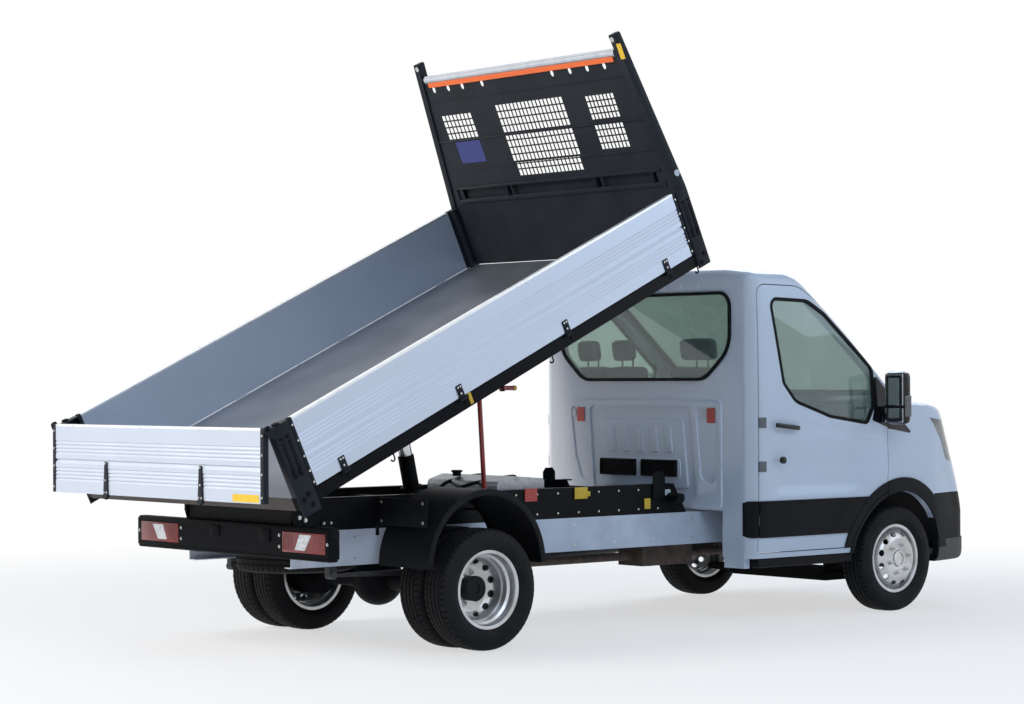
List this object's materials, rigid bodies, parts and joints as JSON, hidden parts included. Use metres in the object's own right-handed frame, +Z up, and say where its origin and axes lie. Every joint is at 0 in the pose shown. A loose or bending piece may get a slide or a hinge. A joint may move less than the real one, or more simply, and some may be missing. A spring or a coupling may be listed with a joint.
{
  "type": "light tipping dump truck",
  "caption": "Light dump truck with single cab, twin rear wheels and a tipping dropside bed, shown half raised with its tailgate hanging open.",
  "frame": {"origin": "on the ground under the middle of the truck's box", "axes": "+X forward, +Y to the truck's left, +Z up"},
  "size_m": [6.0848, 2.48, 3.5486],
  "materials": {
    "white_paint": "glossy white body paint",
    "black_steel": "satin black powder coat",
    "cast_metal": "cast, oily",
    "rust_steel": "heat-browned steel",
    "black_plastic": "grained moulded plastic",
    "tyre_rubber": "tread and sidewall rubber",
    "silver_rim": "silver wheel enamel",
    "lamp_red": "red lamp lens",
    "lamp_clear": "clear lamp lens",
    "dark_glass": "tinted safety glass",
    "grey_steel": "grey galvanized tank",
    "worn_steel": "worn bare floor sheet",
    "seat_cloth": "dark woven cloth",
    "aluminium_board": "anodized ribbed boards",
    "chromed_rod": "polished cylinder stages",
    "red_paint": "red safety paint"
  },
  "bodies": {
    "chassis": {"frame_rails": "white_paint", "sub_frame": "black_steel", "rear_axle": "black_steel", "rear_springs": "black_steel", "propshaft": "black_steel", "front_axle": "black_steel", "engine_block": "cast_metal", "exhaust": "rust_steel", "fuel_tank": "black_plastic", "spare_tyre": "tyre_rubber", "spare_rim": "silver_rim", "spare_hoist": "black_steel", "rear_mudguards": "black_plastic", "rear_light_bar": "black_plastic", "tail_lamps": "lamp_red", "power_pack": "grey_steel", "cab_back": "white_paint", "cab_roof": "white_paint", "cab_sides": "white_paint", "cab_glass": "dark_glass", "cab_floor": "white_paint", "front_bumper": "black_plastic", "front_wings": "white_paint", "headlamps": "lamp_clear", "grille": "black_plastic", "seats": "seat_cloth", "dashboard": "black_plastic", "steering_wheel": "black_plastic", "sill_steps": "black_plastic"},
    "bonnet": {"bonnet": "white_paint"},
    "door_right": {"door_right": "white_paint", "door_right_glass": "dark_glass", "mirror_right": "black_plastic"},
    "door_left": {"door_left": "white_paint", "door_left_glass": "dark_glass", "mirror_left": "black_plastic"},
    "bed": {"bed_floor": "worn_steel", "bed_frame": "black_steel", "corner_posts": "black_steel", "headboard": "black_steel"},
    "side_right": {"side_panel_right": "aluminium_board"},
    "side_left": {"side_panel_left": "aluminium_board"},
    "tailgate": {"tailgate": "aluminium_board"},
    "cylinder": {"cylinder_casing": "black_steel"},
    "stage_1": {"cylinder_stage_1": "chromed_rod"},
    "stage_2": {"cylinder_stage_2": "chromed_rod"},
    "stage_3": {"cylinder_stage_3": "chromed_rod"},
    "prop": {"safety_prop": "red_paint"},
    "steer_right": {"knuckle_right": "black_steel"},
    "steer_left": {"knuckle_left": "black_steel"},
    "front_right_wheel": {"front_right_tyre": "tyre_rubber", "front_right_rim": "silver_rim"},
    "front_left_wheel": {"front_left_tyre": "tyre_rubber", "front_left_rim": "silver_rim"},
    "rear_right_wheels": {"rear_right_tyres": "tyre_rubber", "rear_right_rims": "silver_rim"},
    "rear_left_wheels": {"rear_left_tyres": "tyre_rubber", "rear_left_rims": "silver_rim"}
  },
  "joints": [
    {"name": "bed_tip", "type": "hinge", "parent": "chassis", "child": "bed", "pos_m": [-2.4497, 0, 0.94307], "axis": [0, -1, 0], "range_deg": [-24.85, 20.15]},
    {"name": "tailgate_swing", "type": "hinge", "parent": "bed", "child": "tailgate", "pos_m": [-3.02512, 0, 1.25515], "axis": [0, -1, 0], "range_deg": [-60, 24.85]},
    {"name": "side_right_drop", "type": "hinge", "parent": "bed", "child": "side_right", "pos_m": [-1.31894, -1.071, 1.59018], "axis": [0.9074, 0, 0.4202], "range_deg": [0, 170]},
    {"name": "side_left_drop", "type": "hinge", "parent": "bed", "child": "side_left", "pos_m": [-1.31894, 1.071, 1.59018], "axis": [-0.9074, 0, -0.4202], "range_deg": [0, 170]},
    {"name": "door_right_swing", "type": "hinge", "parent": "chassis", "child": "door_right", "pos_m": [1.85662, -1.036, 1], "axis": [0, 0, 1], "range_deg": [0, 70]},
    {"name": "door_left_swing", "type": "hinge", "parent": "chassis", "child": "door_left", "pos_m": [1.85662, 1.036, 1], "axis": [0, 0, -1], "range_deg": [0, 70]},
    {"name": "bonnet_lift", "type": "hinge", "parent": "chassis", "child": "bonnet", "pos_m": [2.32262, 0, 1.353], "axis": [0, -1, 0], "range_deg": [0, 50]},
    {"name": "steer_right_turn", "type": "hinge", "parent": "chassis", "child": "steer_right", "pos_m": [2.01662, -0.7, 0.342], "axis": [0, 0, 1], "range_deg": [-35, 35]},
    {"name": "steer_left_turn", "type": "hinge", "parent": "chassis", "child": "steer_left", "pos_m": [2.01662, 0.7, 0.342], "axis": [0, 0, 1], "range_deg": [-35, 35]},
    {"name": "front_right_roll", "type": "hinge", "parent": "steer_right", "child": "front_right_wheel", "pos_m": [2.01662, -0.862, 0.342], "axis": [0, 1, 0], "continuous": true},
    {"name": "front_left_roll", "type": "hinge", "parent": "steer_left", "child": "front_left_wheel", "pos_m": [2.01662, 0.862, 0.342], "axis": [0, 1, 0], "continuous": true},
    {"name": "rear_right_roll", "type": "hinge", "parent": "chassis", "child": "rear_right_wheels", "pos_m": [-1.48738, -0.8205, 0.342], "axis": [0, 1, 0], "continuous": true},
    {"name": "rear_left_roll", "type": "hinge", "parent": "chassis", "child": "rear_left_wheels", "pos_m": [-1.48738, 0.8205, 0.342], "axis": [0, 1, 0], "continuous": true},
    {"name": "cylinder_lean", "type": "hinge", "parent": "chassis", "child": "cylinder", "pos_m": [-1.21888, 0, 0.8], "axis": [0, -1, 0], "range_deg": [-9, 8]},
    {"name": "stage_1_slide", "type": "slide", "parent": "cylinder", "child": "stage_1", "axis": [-0.2164, 0, 0.9763], "range_m": [-0.1715, 0.14]},
    {"name": "stage_2_slide", "type": "slide", "parent": "stage_1", "child": "stage_2", "axis": [-0.2164, 0, 0.9763], "range_m": [-0.1715, 0.14]},
    {"name": "stage_3_slide", "type": "slide", "parent": "stage_2", "child": "stage_3", "axis": [-0.2164, 0, 0.9763], "range_m": [-0.1715, 0.14]},
    {"name": "prop_swing", "type": "hinge", "parent": "chassis", "child": "prop", "pos_m": [-1.13438, -0.555, 0.83], "axis": [0, -1, 0], "range_deg": [-90, 73]}
  ],
  "couplings": [
    {"joint": "steer_left_turn", "follows": "steer_right_turn", "ratio": 1},
    {"joint": "cylinder_lean", "follows": "bed_tip", "ratio": 0.35},
    {"joint": "stage_1_slide", "follows": "bed_tip", "m_per_rad": 0.3892},
    {"joint": "stage_2_slide", "follows": "bed_tip", "m_per_rad": 0.3892},
    {"joint": "stage_3_slide", "follows": "bed_tip", "m_per_rad": 0.3892},
    {"joint": "prop_swing", "follows": "bed_tip", "ratio": 3.6}
  ]
}
